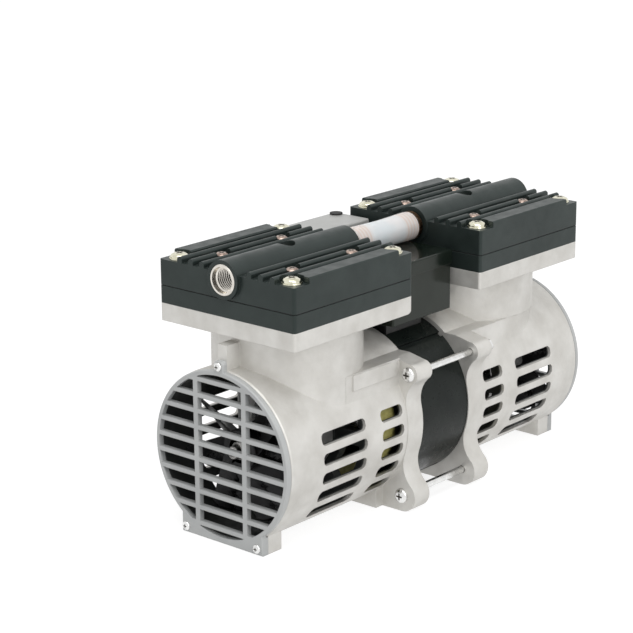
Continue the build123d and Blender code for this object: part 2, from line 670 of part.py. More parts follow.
def capacitor_plug():
    """Dark round plug in the capacitor's case."""
    return rod_z(PLUG_R, CAPACITOR_TOP, CAPACITOR_TOP + 0.9, *PLUG)


# ---- write every sub-part -----------------------------------------------------------------------
def save_unit(end, lift):
    """All pieces of one pump unit."""
    pieces = {
        "housing": housing(),
        "grille": grille(),
        "grille_screws": grille_screws(),
        "winding": winding(),
        "main_bearing": main_bearing(),
        "fan": fan(),
        "eccentric": eccentric(lift),
        "rod_bearing": rod_bearing(lift),
        "connecting_rod": connecting_rod(lift),
        "clamp_disc": clamp_disc(lift),
        "clamp_screw": clamp_screw(lift),
        "diaphragm": diaphragm(lift),
        "valve_plate": valve_plate(),
        "suction_reed": reed(1),
        "pressure_reed": reed(-1),
        "head_gasket": head_gasket(),
        "head_cover": head_cover(),
        "port_insert": port_insert(),
        "hose_nipple": hose_nipple(),
        "corner_screws": corner_screws(),
        "inner_screws": inner_screws(),
    }
    for name, solid in pieces.items():
        save(f"{end}_{name}", at_end(solid, end))


save_unit("front", CRANK_THROW)
save_unit("rear", -CRANK_THROW)
save("stator_core", stator_core())
save("through_bolts", through_bolts())
save("bolt_nuts", bolt_nuts())
save("shaft", shaft())
save("rotor_core", rotor_core())
save("rotor_end_rings", rotor_end_rings())
save("link_hose", link_hose())
save("junction_bracket", junction_bracket())
save("junction_box", junction_box())
save("junction_lid", junction_lid())
save("lid_screws", lid_screws())
save("terminal_block", terminal_block())
save("capacitor", capacitor())
save("capacitor_plug", capacitor_plug())
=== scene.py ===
import math

import bmesh
import bpy
from mathutils import Matrix, Vector


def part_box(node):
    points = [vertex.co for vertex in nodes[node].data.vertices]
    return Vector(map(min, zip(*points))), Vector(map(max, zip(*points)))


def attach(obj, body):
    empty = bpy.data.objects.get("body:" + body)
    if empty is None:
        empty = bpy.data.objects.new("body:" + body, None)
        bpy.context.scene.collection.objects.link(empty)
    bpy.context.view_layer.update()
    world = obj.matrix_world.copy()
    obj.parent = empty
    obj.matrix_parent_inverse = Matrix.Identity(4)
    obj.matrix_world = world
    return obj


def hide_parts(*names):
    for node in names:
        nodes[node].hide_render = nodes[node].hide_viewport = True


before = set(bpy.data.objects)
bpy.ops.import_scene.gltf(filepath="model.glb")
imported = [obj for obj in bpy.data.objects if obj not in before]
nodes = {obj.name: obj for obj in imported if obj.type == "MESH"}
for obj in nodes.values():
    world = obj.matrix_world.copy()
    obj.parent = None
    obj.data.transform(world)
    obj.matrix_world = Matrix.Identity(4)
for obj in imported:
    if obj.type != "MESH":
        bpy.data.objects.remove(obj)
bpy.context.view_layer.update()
scene = bpy.context.scene
scene.view_settings.view_transform = "Standard"

# ---- camera -------------------------------------------------------------------------------------
# A long lens a little over a metre away, at the front left of the pump and slightly above it. It is
# rolled by about a third of a degree.
AZIMUTH, ELEVATION, ROLL = math.radians(-49.03), math.radians(16.11), math.radians(-0.36)
DISTANCE = 1.13533
AIM = Vector((-0.02003, 0.02775, 0.09186))
LENS = 118.55             # focal length in millimetres

back = Vector((
    math.sin(AZIMUTH) * math.cos(ELEVATION),
    -math.cos(AZIMUTH) * math.cos(ELEVATION),
    math.sin(ELEVATION),
))
right = Matrix.Rotation(ROLL, 3, back) @ Vector((math.cos(AZIMUTH), math.sin(AZIMUTH), 0))
turn = Matrix((right, back.cross(right), back)).transposed().to_4x4()
camera = bpy.data.objects.new("camera", bpy.data.cameras.new("camera"))
scene.collection.objects.link(camera)
camera.matrix_world = Matrix.Translation(AIM + back * DISTANCE) @ turn
camera.data.lens = LENS
camera.data.clip_end = 20
scene.camera = camera

# ---- studio -------------------------------------------------------------------------------------
# A white table in a light tent: even light all round, one wide lamp overhead and one at the side.
# Seen directly or in a reflection, tent and table are plain white.
TENT_LIGHT = 0.62         # strength of the tent as light on the object
TABLE_LIGHT = 0.6         # share of its light that the table throws back on the object
TABLE_SHADE = 0.3         # part of the table's own look that takes shadows
TABLE_GLOW = 0.82         # the rest of its look
TABLE_HALF = 4            # half a side of the square table
TABLE_DROP = 0.0002       # the table lies just under the feet


def put(tree, kind, sockets=None, **options):
    """Add a shader node, set its options and fill or link its inputs."""
    made = tree.nodes.new("ShaderNode" + kind)
    for name, value in options.items():
        setattr(made, name, value)
    for name, value in (sockets or {}).items():
        if isinstance(value, bpy.types.NodeSocket):
            tree.links.new(value, made.inputs[name])
        else:
            made.inputs[name].default_value = value
    return made


def calc(tree, operation, *values):
    """Result of a sum on one or two values."""
    return put(tree, "Math", dict(enumerate(values)), operation=operation).outputs[0]


def seen_directly(tree):
    """1 for camera, mirror and glass rays, 0 for light that falls on the object."""
    rays = put(tree, "LightPath").outputs
    shiny = calc(tree, "MAXIMUM", rays["Is Glossy Ray"], rays["Is Transmission Ray"])
    return calc(tree, "MAXIMUM", rays["Is Camera Ray"], shiny)


world = bpy.data.worlds.new("light_tent")
scene.world = world
world.use_nodes = True
sky = world.node_tree
strength = put(sky, "MapRange", {"Value": seen_directly(sky), "To Min": TENT_LIGHT, "To Max": 1.0})
sky.nodes["Background"].inputs["Color"].default_value = (1, 1, 1, 1)
sky.links.new(strength.outputs[0], sky.nodes["Background"].inputs["Strength"])

bm = bmesh.new()
under_feet = Matrix.Translation((0, 0, -TABLE_DROP))
bmesh.ops.create_grid(bm, x_segments=1, y_segments=1, size=TABLE_HALF, matrix=under_feet)
table_mesh = bpy.data.meshes.new("table")
bm.to_mesh(table_mesh)
bm.free()
table = bpy.data.objects.new("table", table_mesh)
scene.collection.objects.link(table)
paper = bpy.data.materials.new("white_paper")
paper.use_nodes = True
tree = paper.node_tree
tree.nodes.clear()
lit = put(tree, "BsdfDiffuse", {"Color": (TABLE_LIGHT, TABLE_LIGHT, TABLE_LIGHT, 1)})
shaded = put(tree, "BsdfDiffuse", {"Color": (TABLE_SHADE, TABLE_SHADE, TABLE_SHADE, 1)})
glow = put(tree, "Emission", {"Color": (1, 1, 1, 1), "Strength": TABLE_GLOW})
shown = put(tree, "AddShader", {0: shaded.outputs[0], 1: glow.outputs[0]})
mixed = put(tree, "MixShader", {0: seen_directly(tree), 1: lit.outputs[0], 2: shown.outputs[0]})
put(tree, "OutputMaterial", {"Surface": mixed.outputs[0]})
table_mesh.materials.append(paper)


def lamp(name, power, size, place, target):
    """A square soft lamp that looks at a point."""
    data = bpy.data.lights.new(name, "AREA")
    data.energy = power
    data.size = size
    made = bpy.data.objects.new(name, data)
    made.location = place
    made.rotation_euler = (Vector(target) - Vector(place)).to_track_quat("-Z", "Y").to_euler()
    scene.collection.objects.link(made)


lamp("overhead", 9.0, 1.0, place=(-0.35, -0.35, 1.35), target=(0, 0, 0.07))
lamp("side", 6.4, 0.8, place=(-0.45, -1.3, 0.75), target=(-0.05, 0, 0.07))

# ---- housings -----------------------------------------------------------------------------------
# Each crank housing is one pressure casting in aluminium: barrel, neck, head flange, motor flange and
# feet. It is bead-blasted and left bare, so it is pale, matte and a little uneven, with soft edges.
# Inside the bore the colour is painted dark grey, as painted shade.
SHAFT_Z = 0.0464
INSIDE_R = 0.0438         # what is nearer to the shaft than this is inside
BORE_SHADE_FADE = 0.0006       # the painted shade fades out over this width
# dark grey painted inside the bore as painted shade
BORE_SHADE_GREY = (0.07, 0.074, 0.072, 1)
LOW_NOISE, HIGH_NOISE = 0.3, 0.7      # most values of the noise lie between these


def finish(name, roughness, metallic=0.0, **sockets):
    """A material on the principled shader; returns it with its tree and its shader."""
    made = bpy.data.materials.new(name)
    made.use_nodes = True
    shader = made.node_tree.nodes["Principled BSDF"]
    shader.inputs["Roughness"].default_value = roughness
    shader.inputs["Metallic"].default_value = metallic
    for socket, value in sockets.items():
        shader.inputs[socket.replace("_", " ")].default_value = value
    return made, made.node_tree, shader


def grain(tree, size, detail=2.0, stretch=(1, 1, 1)):
    """Noise whose spots are about size metres across; returns its value."""
    place = put(tree, "TexCoord").outputs["Object"]
    where = put(tree, "Mapping", {"Vector": place, "Scale": stretch}).outputs[0]
    return put(tree, "TexNoise", {"Vector": where, "Scale": 1 / size, "Detail": detail}).outputs["Fac"]


def between(tree, value, low, high):
    """Colours that go from low to high with the noise."""
    ramp = put(tree, "ValToRGB", {"Fac": value})
    for stop, place, colour in zip(ramp.color_ramp.elements, (LOW_NOISE, HIGH_NOISE), (low, high)):
        stop.position = place
        stop.color = (*colour, 1)
    return ramp.outputs["Color"]


def mottle(tree, shader, size, low, high, detail=3.0, stretch=(1, 1, 1)):
    """Let the colour drift between two tones, in spots about size metres across."""
    tones = between(tree, grain(tree, size, detail, stretch), low, high)
    tree.links.new(tones, shader.inputs["Base Color"])


def uneven_gloss(tree, shader, size, low, high, detail=3.0, stretch=(1, 1, 1)):
    """Let the roughness drift between two values, in spots about size metres across."""
    sockets = {"Value": grain(tree, size, detail, stretch), "From Min": LOW_NOISE, "From Max": HIGH_NOISE,
               "To Min": low, "To Max": high}
    tree.links.new(put(tree, "MapRange", sockets).outputs[0], shader.inputs["Roughness"])


def relief(tree, shader, height, depth, under=None):
    """Raise the surface by height times depth metres, on top of an earlier relief."""
    sockets = {"Height": height, "Distance": depth}
    if under:
        sockets["Normal"] = under
    normal = put(tree, "Bump", sockets).outputs[0]
    tree.links.new(normal, shader.inputs["Normal"])
    return normal


def soft_edge(tree, radius):
    """Normals that turn softly over the edges, within radius metres of them."""
    return put(tree, "Bevel", {"Radius": radius}, samples=4).outputs[0]


def blend(tree, factor, first, second):
    """Colour that goes from the first to the second as the factor goes from 0 to 1."""
    return put(tree, "Mix", {"Factor": factor, 6: first, 7: second}, data_type="RGBA").outputs[2]


def wear(material, *names):
    """Give CAD nodes their finish."""
    for name in names:
        mesh = nodes[name].data
        mesh.materials.clear()
        mesh.materials.append(material)


def both(part):
    """Names of a part at the two ends of the pump."""
    return f"front_{part}", f"rear_{part}"


cast, tree, shader = finish("blasted_casting", 0.5, metallic=0.55)
bare = between(tree, grain(tree, 0.014, 4), (0.57, 0.555, 0.522), (0.69, 0.678, 0.648))
place = put(tree, "TexCoord").outputs["Object"]
radial = put(tree, "Mapping", {"Vector": place, "Location": (0, 0, -SHAFT_Z), "Scale": (0, 1, 1)}).outputs[0]
from_shaft = put(tree, "VectorMath", {0: radial}, operation="LENGTH").outputs["Value"]
outside = put(tree, "MapRange", {"Value": from_shaft, "From Min": INSIDE_R,
                                 "From Max": INSIDE_R + BORE_SHADE_FADE})
# painted shade: the colour turns dark grey inside the bore
tree.links.new(blend(tree, outside.outputs[0], BORE_SHADE_GREY, bare), shader.inputs["Base Color"])
uneven_gloss(tree, shader, 0.004, 0.42, 0.58)
coarse = relief(tree, shader, grain(tree, 0.0035, 3), 0.00012, under=soft_edge(tree, 0.0006))
relief(tree, shader, grain(tree, 0.0005, 2), 0.00006, under=coarse)
wear(cast, *both("housing"))

# ---- stator -------------------------------------------------------------------------------------
# A stack of electrical steel sheets between the two motor flanges, welded along four grooves and
# dipped in black varnish.
SHEET = 0.00065           # thickness of one steel sheet


def along_pump(tree):
    """Place along the shaft, from the middle of the pump."""
    return put(tree, "SeparateXYZ", {0: put(tree, "TexCoord").outputs["Object"]}).outputs["X"]


varnish, tree, shader = finish("black_varnish", 0.3, Specular_IOR_Level=0.15)
mottle(tree, shader, 0.012, (0.006, 0.0085, 0.0075), (0.012, 0.0155, 0.0135), detail=4)
uneven_gloss(tree, shader, 0.005, 0.24, 0.36)
sheets = calc(tree, "SINE", calc(tree, "MULTIPLY", along_pump(tree), math.tau / SHEET))
stack = relief(tree, shader, sheets, 0.000004, under=soft_edge(tree, 0.0004))
relief(tree, shader, grain(tree, 0.006, 2), 0.00005, under=stack)
wear(varnish, "stator_core")

# ---- rotor and shaft ----------------------------------------------------------------------------
# A ground steel shaft runs from end to end. The rotor's stack of sheets is pressed on its middle, with
# rings of aluminium cast on both sides of the stack.
bare_steel, tree, shader = finish("ground_steel", 0.28, metallic=1.0)
mottle(tree, shader, 0.006, (0.5, 0.49, 0.47), (0.66, 0.65, 0.63), stretch=(0.2, 1, 1))
uneven_gloss(tree, shader, 0.002, 0.2, 0.36, stretch=(0.1, 1, 1))
relief(tree, shader, grain(tree, 0.0006, 2, (8, 1, 1)), 0.00002, under=soft_edge(tree, 0.0003))
wear(bare_steel, "shaft", "rotor_core")

raw_aluminium, tree, shader = finish("machined_aluminium", 0.38, metallic=0.9)
mottle(tree, shader, 0.01, (0.5, 0.5, 0.49), (0.64, 0.63, 0.62), detail=4)
relief(tree, shader, grain(tree, 0.0008, 3), 0.00005, under=soft_edge(tree, 0.0005))
wear(raw_aluminium, "rotor_end_rings")

# ---- end windings -------------------------------------------------------------------------------
# The copper coils stand out of both ends of the stator. They are bound into a ring with yellow
# insulating tape, lap over lap. Where they leave the stack their colour is painted dark, as painted shade.
COIL_FROM, COIL_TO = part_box("rear_winding")[0].x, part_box("rear_winding")[1].x
COIL_INNER, COIL_OUTER = 0.0255, 0.037
COIL_ROUNDING = 0.0045
TAPE_LAPS = 44
LAP_RISE = 0.00035        # how far each lap stands out
SHADED_TO, TAPED_FROM = 0.0335, 0.036  # distances from the middle, with a ragged border between
# near-black painted as shade where the coils leave the stack
ROOT_SHADE_DARK = (0.02, 0.018, 0.014, 1)
EDGE_ANGLE = math.radians(35)         # sharper folds than this show as edges


def along_shaft(x, y, z):
    """Matrix that lays a turned shape on a place, its own axis pointing to +X."""
    return Matrix.Translation((x, y, z)) @ Matrix.Rotation(math.pi / 2, 4, "Y")


def at_end(end, matrix):
    """The same place at the rear, or turned half round the upright for the front."""
    return matrix if end == "rear" else Matrix.Rotation(math.pi, 4, "Z") @ matrix


def skin_rings(bm, rings, place, steps=32, closed=False, mark=()):
    """Skin a stack of rings (radius or radius by angle, height), closed on itself or capped."""
    loops = []
    for radius, height in rings:
        circle = bmesh.ops.create_circle(bm, radius=1, segments=steps)["verts"]
        for vert in circle:
            vert.co *= radius(math.atan2(vert.co.y, vert.co.x)) if callable(radius) else radius
            vert.co.z = height
        loops.append((circle, list({edge for vert in circle for edge in vert.link_edges})))
    pairs = list(zip(loops, loops[1:] + ([loops[0]] if closed else [])))
    for step, (low, high) in enumerate(pairs):
        for face in bmesh.ops.bridge_loops(bm, edges=low[1] + high[1])["faces"]:
            face.material_index = 1 if step in mark else 0
    if not closed:
        bm.faces.new(loops[0][0])
        bm.faces.new(loops[-1][0]).material_index = 1 if mark else 0
    bmesh.ops.transform(bm, matrix=place, verts=[vert for circle, _ in loops for vert in circle])


def piece(name, bm, materials, body, part, *stands_for):
    """Finish a bmesh as an object on a body, standing for CAD nodes."""
    bmesh.ops.recalc_face_normals(bm, faces=bm.faces)
    mesh = bpy.data.meshes.new(name)
    bm.to_mesh(mesh)
    bm.free()
    for material in materials:
        mesh.materials.append(material)
    mesh.shade_smooth()
    mesh.set_sharp_from_angle(angle=EDGE_ANGLE)
    made = bpy.data.objects.new(name, mesh)
    scene.collection.objects.link(made)
    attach(made, body)
    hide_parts(*stands_for)
    return made


def from_middle(tree):
    """Distance from the middle of the pump along the shaft."""
    return calc(tree, "ABSOLUTE", along_pump(tree))


def lapped(radius):
    """Radius of the taped ring by angle, raised a little by each lap."""
    return lambda angle: radius + LAP_RISE * (math.sin(angle * TAPE_LAPS) ** 2)


tape, tree, shader = finish("yellow_tape", 0.42)
ragged = calc(tree, "MULTIPLY", grain(tree, 0.004, 2), 0.004)
where = calc(tree, "ADD", from_middle(tree), ragged)
taped = put(tree, "MapRange", {"Value": where, "From Min": SHADED_TO, "From Max": TAPED_FROM}).outputs[0]
yellow = between(tree, grain(tree, 0.003, 4), (0.43, 0.39, 0.11), (0.62, 0.57, 0.22))
# painted shade: dark near the stack, yellow tape further out
tree.links.new(blend(tree, taped, ROOT_SHADE_DARK, yellow), shader.inputs["Base Color"])
relief(tree, shader, grain(tree, 0.0012, 3), 0.00012)

for end in ("front", "rear"):
    bm = bmesh.new()
    rings = [
        (COIL_INNER, COIL_FROM),
        (COIL_INNER, COIL_TO - COIL_ROUNDING),
        (COIL_INNER + 0.0014, COIL_TO - 0.0014),
        (COIL_INNER + COIL_ROUNDING, COIL_TO),
        (lapped(COIL_OUTER - COIL_ROUNDING), COIL_TO),
        (lapped(COIL_OUTER - 0.0016), COIL_TO - 0.0014),
        (lapped(COIL_OUTER - 0.0003), COIL_TO - COIL_ROUNDING),
        (lapped(COIL_OUTER - 0.0003), COIL_FROM),
    ]
    skin_rings(bm, rings, at_end(end, along_shaft(0, 0, SHAFT_Z)), steps=TAPE_LAPS * 6, closed=True)
    piece(f"{end}_taped_coils", bm, [tape], "pump", "coil_tape", f"{end}_winding")

# ---- bearings, cranks and rods ------------------------------------------------------------------
# A shielded ball bearing carries the shaft in each housing. A cast-iron eccentric with a half-round
# counterweight drives the aluminium connecting rod through a second bearing.
bearing_steel, tree, shader = finish("bearing_steel", 0.2, metallic=1.0)
mottle(tree, shader, 0.005, (0.58, 0.58, 0.57), (0.7, 0.7, 0.69), detail=2)
uneven_gloss(tree, shader, 0.001, 0.14, 0.28)
relief(tree, shader, grain(tree, 0.0005, 2), 0.00001, under=soft_edge(tree, 0.0003))
wear(bearing_steel, *both("main_bearing"), *both("rod_bearing"))

iron, tree, shader = finish("machined_iron", 0.5, metallic=0.8)
mottle(tree, shader, 0.004, (0.12, 0.12, 0.12), (0.26, 0.26, 0.255), detail=4)
relief(tree, shader, grain(tree, 0.0007, 3), 0.00006, under=soft_edge(tree, 0.0005))
wear(iron, *both("eccentric"))
wear(raw_aluminium, *both("connecting_rod"))

# ---- diaphragms and reeds -----------------------------------------------------------------------
# A moulded rubber disc with fabric inside closes each pumping chamber. It is clamped at its rim by the
# head and in the middle by an aluminium disc. Thin steel reeds are the valves over it.
fabric_rubber, tree, shader = finish("fabric_rubber", 0.62, Specular_IOR_Level=0.35)
mottle(tree, shader, 0.006, (0.012, 0.012, 0.013), (0.03, 0.03, 0.031))
relief(tree, shader, grain(tree, 0.0006, 2), 0.00006)
wear(fabric_rubber, *both("diaphragm"))
wear(raw_aluminium, *both("clamp_disc"))
wear(bare_steel, *both("suction_reed"), *both("pressure_reed"))

# ---- fans ---------------------------------------------------------------------------------------
# A fan in black nylon is pressed on each end of the shaft, just behind the grille. Seven twisted blades
# with rounded corners stand on a round hub.
HUB_FROM, HUB_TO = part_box("rear_fan")[0].x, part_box("rear_fan")[1].x
HUB_R, FAN_R, SHAFT_R = 0.011, 0.039, 0.005
HUB_EDGE = 0.0006
HUB_RECESS_R, HUB_RECESS = 0.0068, 0.001
BLADES, BLADE_CHORD, BLADE_T = 7, 0.0215, 0.0016
BLADE_SINK = 0.001        # how far a blade's root sits in the hub
BLADE_CORNER = 0.003
BLADE_PITCH, TIP_TWIST = math.radians(-29), math.radians(-15)
FIRST_BLADE = {"front": math.radians(60), "rear": math.radians(-78)}     # angle from the upright


def stand_at(x, y, z):
    """Matrix that stands a turned shape on a place, its own axis upright."""
    return Matrix.Translation((x, y, z))


def blade(bm, place):
    """A twisted fan blade with rounded corners that stands up from the hub."""
    grid = bmesh.ops.create_grid(bm, x_segments=8, y_segments=8, size=0.5)["verts"]
    root = HUB_R - BLADE_SINK
    for vert in grid:
        across, reach = vert.co.x, vert.co.y + 0.5
        radius = root + (FAN_R - root) * reach - BLADE_CORNER * (2 * across) ** 4 * reach ** 4
        pitch = BLADE_PITCH + TIP_TWIST * reach
        side = -across * BLADE_CHORD * math.cos(pitch)
        vert.co = (across * BLADE_CHORD * math.sin(pitch), side, math.sqrt(radius ** 2 - side ** 2))
    faces = list({face for vert in grid for face in vert.link_faces})
    shell = bmesh.ops.solidify(bm, geom=faces, thickness=BLADE_T)["geom"]
    walls = [item for item in shell if isinstance(item, bmesh.types.BMFace)]
    verts = {vert for face in walls for vert in face.verts} | set(grid)
    bmesh.ops.transform(bm, matrix=place, verts=list(verts))


fan_nylon, tree, shader = finish("fan_nylon", 0.42)
mottle(tree, shader, 0.01, (0.008, 0.008, 0.009), (0.02, 0.02, 0.021))
relief(tree, shader, grain(tree, 0.0006, 2), 0.00003, under=soft_edge(tree, 0.0004))

for end in ("front", "rear"):
    bm = bmesh.new()
    hub = [
        (SHAFT_R, HUB_FROM),
        (HUB_R - HUB_EDGE, HUB_FROM),
        (HUB_R, HUB_FROM + HUB_EDGE),
        (HUB_R, HUB_TO - HUB_EDGE),
        (HUB_R - HUB_EDGE, HUB_TO),
        (HUB_RECESS_R, HUB_TO),
        (HUB_RECESS_R - 0.0004, HUB_TO - HUB_RECESS),
        (SHAFT_R, HUB_TO - HUB_RECESS),
    ]
    skin_rings(bm, hub, at_end(end, along_shaft(0, 0, SHAFT_Z)), 48, closed=True)
    middle = stand_at((HUB_FROM + HUB_TO) / 2, 0, SHAFT_Z)
    for step in range(BLADES):
        turn = Matrix.Rotation(FIRST_BLADE[end] + step * math.tau / BLADES, 4, "X")
        blade(bm, at_end(end, middle @ turn))
    piece(f"{end}_bladed_fan", bm, [fan_nylon], "rotor", "fan_plastic", f"{end}_fan")

# ---- air grilles --------------------------------------------------------------------------------
# Round die-cast grilles with level bars guard the fans. They are painted satin grey and screwed to the
# end of each barrel.
grey_paint, tree, shader = finish("grey_grille_paint", 0.4, metallic=0.1)
mottle(tree, shader, 0.02, (0.42, 0.43, 0.43), (0.5, 0.51, 0.505))
uneven_gloss(tree, shader, 0.005, 0.34, 0.46)
relief(tree, shader, grain(tree, 0.0008, 2), 0.00003, under=soft_edge(tree, 0.0005))
wear(grey_paint, *both("grille"))

# ---- grille screws ------------------------------------------------------------------------------
# Two pan-head screws hold each grille's foot plate and one holds its top tab. They are bright zinc,
# with the cross recess coloured dark. The screws that clamp the diaphragms are plated the same way.
END_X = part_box("rear_grille")[1].x
FOOT_SCREW = (0.0246, 0.0036)
TAB_SCREW_Z = 0.0946


def cross_reach(arm, half):
    """Radius of a cross-shaped outline by angle: arms of length arm, twice half wide."""
    def reach(angle):
        c, s = abs(math.cos(angle)) + 1e-9, abs(math.sin(angle)) + 1e-9
        return max(min(arm / c, half / s), min(half / c, arm / s))
    return reach


def pan_head(radius, height):
    """Rings of a pan head over its seat, from the under-side edge to the floor of the recess."""
    arm, half, deep = radius * 0.48, radius * 0.12, height * 0.5
    shoulder, rise = 0.35, 0.61       # shares of the height: straight side, then dome
    head = [(radius, 0), (radius, height * shoulder)]
    for lean in (0.35, 0.7, 1.0):
        head.append((radius * math.cos(lean) ** 0.6, height * (shoulder + rise * math.sin(lean))))
    head += [(radius * 0.6, height * 0.985), (cross_reach(arm, half), height)]
    return head + [(cross_reach(arm * 0.62, half * 0.8), height - deep)]


def screw(bm, place, shank, tip, radius, height, steps=48):
    """A pan-head screw with a cross recess: shank from the tip up to the seat, then its head."""
    rings = [(shank * 0.8, tip), (shank, tip + shank * 0.3), (shank, 0)] + pan_head(radius, height)
    skin_rings(bm, rings, place, steps, mark=(len(rings) - 2,))


zinc, tree, shader = finish("bright_zinc", 0.24, metallic=1.0)
mottle(tree, shader, 0.003, (0.68, 0.68, 0.67), (0.82, 0.82, 0.81))
uneven_gloss(tree, shader, 0.002, 0.18, 0.3)
relief(tree, shader, grain(tree, 0.0008, 2), 0.000008)
# the walls and floor of each cross recess are coloured dark
recess_dark, tree, shader = finish("dark_cross_recess", 0.6, metallic=0.4)
mottle(tree, shader, 0.001, (0.07, 0.063, 0.05), (0.2, 0.18, 0.15), detail=2)
relief(tree, shader, grain(tree, 0.0004, 2), 0.00002)
wear(zinc, *both("clamp_screw"))

for end in ("front", "rear"):
    bm = bmesh.new()
    for y, z in (FOOT_SCREW, (-FOOT_SCREW[0], FOOT_SCREW[1]), (0, TAB_SCREW_Z)):
        seat = at_end(end, along_shaft(END_X, y, z))
        screw(bm, seat, shank=0.0015, tip=-0.010, radius=0.0024, height=0.0016)
    piece(f"{end}_grille_pan_heads", bm, [zinc, recess_dark], "pump", "zinc_steel", f"{end}_grille_screws")

# ---- through bolts ------------------------------------------------------------------------------
# Four long zinc-plated bolts run past the stator and pull the two housings against it. Their pan
# heads sit on the front flange; washers and hex nuts hold their threaded ends at the rear.
FLANGE_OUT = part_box("bolt_nuts")[0].x
BOLTS = [(side * y, z) for side in (1, -1) for y, z in ((0.0466, 0.0769), (0.0424, 0.0088))]
BOLT_R, BOLT_ROOT, BOLT_PITCH = 0.002, 0.00172, 0.0007
BOLT_TIP, THREAD_END = -0.0702, -0.0612
WASHER_R, WASHER_T = 0.0044, 0.0008
NUT_FLATS, NUT_TOP = 0.0035, 0.004    # half the width over the flats, and the height with the washer


def thread(crest, root, start, stop, pitch):
    """Rings of a plain ringed thread from start to stop."""
    rings = []
    for turn in range(int((stop - start) / pitch)):
        height = start + turn * pitch
        rings += [(crest, height + pitch * 0.15), (crest, height + pitch * 0.35),
                  (root, height + pitch * 0.7), (root, height + pitch * 0.9)]
    return rings


def hexagon(flats):
    """Radius of a hexagon by angle, flats being the distance to the middle of a side."""
    return lambda angle: flats / math.cos((angle + math.pi / 6) % (math.pi / 3) - math.pi / 6)


bm = bmesh.new()
for y, z in BOLTS:
    threaded = thread(BOLT_R, BOLT_ROOT, BOLT_TIP + 0.0007, THREAD_END - 0.0003, BOLT_PITCH)
    rings = [(0.0015, BOLT_TIP)] + threaded + [(BOLT_R, THREAD_END), (BOLT_R, 0)] + pan_head(0.004, 0.0027)
    skin_rings(bm, rings, at_end("front", along_shaft(FLANGE_OUT, y, z)), 48, mark=(len(rings) - 2,))
piece("long_motor_bolts", bm, [zinc, recess_dark], "pump", "zinc_steel", "through_bolts")

bm = bmesh.new()
for y, z in BOLTS:
    place = along_shaft(FLANGE_OUT, y, z)
    hole = BOLT_R + 0.0001
    washer = [(hole, 0), (WASHER_R, 0), (WASHER_R, WASHER_T - 0.0001), (WASHER_R - 0.0001, WASHER_T),
              (hole, WASHER_T)]
    skin_rings(bm, washer, place, 36, closed=True)
    hole = BOLT_R + 0.00005
    nut = [
        (hole, WASHER_T),
        (hexagon(NUT_FLATS * 0.97), WASHER_T),
        (hexagon(NUT_FLATS), WASHER_T + 0.0003),
        (hexagon(NUT_FLATS), NUT_TOP - 0.0004),
        (hexagon(NUT_FLATS * 0.95), NUT_TOP),
        (0.0024, NUT_TOP),
        (hole, NUT_TOP - 0.0003),
    ]
    skin_rings(bm, nut, place, 36, closed=True)
piece("motor_bolt_nuts", bm, [zinc], "pump", "zinc_steel", "bolt_nuts")

# ---- pump heads ---------------------------------------------------------------------------------
# Valve plate and finned cover are moulded in black glass-filled nylon with a satin, faintly grained
# surface, and clamped with a thin rubber gasket between them.
black_nylon, tree, shader = finish("black_glass_nylon", 0.4, Specular_IOR_Level=0.36,
                                   Specular_Tint=(0.88, 1, 0.97, 1))
mottle(tree, shader, 0.018, (0.011, 0.016, 0.0148), (0.0195, 0.0265, 0.0248), detail=4)
uneven_gloss(tree, shader, 0.006, 0.34, 0.47)
relief(tree, shader, grain(tree, 0.0006, 2), 0.00003, under=soft_edge(tree, 0.0004))
wear(black_nylon, *both("head_cover"), *both("valve_plate"))

black_rubber, tree, shader = finish("black_rubber", 0.7)
mottle(tree, shader, 0.004, (0.006, 0.006, 0.006), (0.016, 0.016, 0.016), detail=2)
relief(tree, shader, grain(tree, 0.0007, 2), 0.00005)
wear(black_rubber, *both("head_gasket"))

# ---- head screws --------------------------------------------------------------------------------
# Four pan-head screws with captive washers, in pale yellow zinc, clamp each head to the housing.
# Five smaller copper-toned ones, sunk between the ribs, hold the cover to the valve plate.
PLATE_FROM, PLATE_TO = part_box("rear_valve_plate")[0].x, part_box("rear_valve_plate")[1].x
UNIT_X = (PLATE_FROM + PLATE_TO) / 2  # middle of the rear head
COVER_TOP = 0.1417
BOSS_FLAT = 0.1436        # seat of the screw in the middle of the boss
CORNER_SCREW = (0.0389, 0.0381)
INNER_SCREW = (0.0228, 0.0240)
CAPTIVE_R, CAPTIVE_T, CAPTIVE_HOLE = 0.0053, 0.0007, 0.0026


def four(dx, dy):
    """Four places round the middle of a head."""
    return [(UNIT_X + sx * dx, sy * dy) for sx in (1, -1) for sy in (1, -1)]


yellow_zinc, tree, shader = finish("pale_yellow_zinc", 0.2, metallic=1.0)
mottle(tree, shader, 0.0025, (0.58, 0.56, 0.42), (0.86, 0.84, 0.7))
relief(tree, shader, grain(tree, 0.0004, 2), 0.00002)
copper_tint, tree, shader = finish("copper_toned_zinc", 0.26, metallic=1.0)
mottle(tree, shader, 0.002, (0.2, 0.14, 0.115), (0.52, 0.41, 0.35))
relief(tree, shader, grain(tree, 0.0004, 2), 0.00002)

